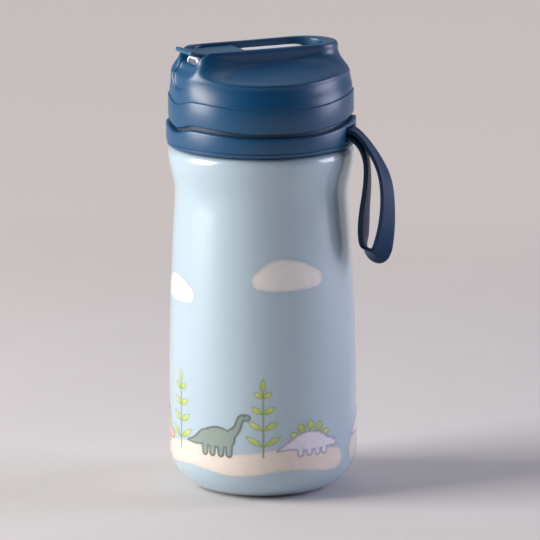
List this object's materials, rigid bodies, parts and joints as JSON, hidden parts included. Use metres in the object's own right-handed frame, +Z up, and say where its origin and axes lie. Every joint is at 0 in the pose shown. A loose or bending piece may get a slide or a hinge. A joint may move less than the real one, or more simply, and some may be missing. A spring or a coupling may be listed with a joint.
{
  "type": "kids water bottle",
  "caption": "Slim double-wall steel bottle with a waisted pale blue body, blue screw lid, flip-up straw spout under a thumb lever, and a silicone carry loop.",
  "frame": {"origin": "centre of the flat base, on the surface the bottle stands on", "axes": "+Z up along the bottle's axis; -X is the lid's front, where the thumb tab and the spout's tip are; the strap hangs 44 degrees from +X towards -Y"},
  "size_m": [0.0783, 0.0772, 0.1747],
  "materials": {
    "shell_paint": "glossy pale blue paint on steel, with a printed picture under the clear coat",
    "steel": "plain stainless steel, finely brushed",
    "base_steel": "bare stainless steel with circular brushing",
    "getter_metal": "dark pressed metal powder",
    "clear_silicone": "translucent food-grade silicone",
    "lid_plastic": "satin denim blue polypropylene with a fine moulded texture",
    "core_plastic": "plain dark blue moulded polypropylene",
    "lever_plastic": "satin denim blue plastic, slightly smoother than the dome",
    "spout_silicone": "milky white soft silicone",
    "straw_plastic": "clear frosted polypropylene",
    "strap_silicone": "soft satin blue silicone"
  },
  "bodies": {
    "bottle": {"outer_shell": "shell_paint", "inner_liner": "steel", "base_plate": "base_steel", "vacuum_seal_plug": "base_steel", "getter": "getter_metal"},
    "gasket": {"lid_gasket": "clear_silicone"},
    "lid": {"lid_core": "core_plastic", "lid_collar": "lid_plastic", "lid_band": "lid_plastic", "lid_dome": "lid_plastic", "hinge_pins": "steel", "spout_neck": "spout_silicone", "spout_retainer": "core_plastic", "straw_adapter": "straw_plastic", "straw": "straw_plastic", "vent_valve": "clear_silicone", "strap_anchor_pin": "steel"},
    "lever": {"flip_lever": "lever_plastic", "spout_tube": "spout_silicone"},
    "strap": {"carry_strap": "strap_silicone"}
  },
  "joints": [
    {"name": "lid_rise", "type": "slide", "parent": "bottle", "child": "gasket", "axis": [0, 0, 1], "range_m": [0, 0.0091]},
    {"name": "lid_turn", "type": "hinge", "parent": "gasket", "child": "lid", "pos_m": [0, 0, 0.15], "axis": [0, 0, 1], "range_deg": [0, 540]},
    {"name": "lever_flip", "type": "hinge", "parent": "lid", "child": "lever", "pos_m": [0.0155, 0, 0.1664], "axis": [0, 1, 0], "range_deg": [0, 90], "deforming": ["spout_neck"]},
    {"name": "strap_swing", "type": "hinge", "parent": "lid", "child": "strap", "pos_m": [0.02518, -0.02431, 0.1415], "axis": [-0.6947, -0.7193, 0], "range_deg": [-3, 28]}
  ],
  "couplings": [
    {"joint": "lid_rise", "follows": "lid_turn", "m_per_rad": 0.00095493}
  ]
}
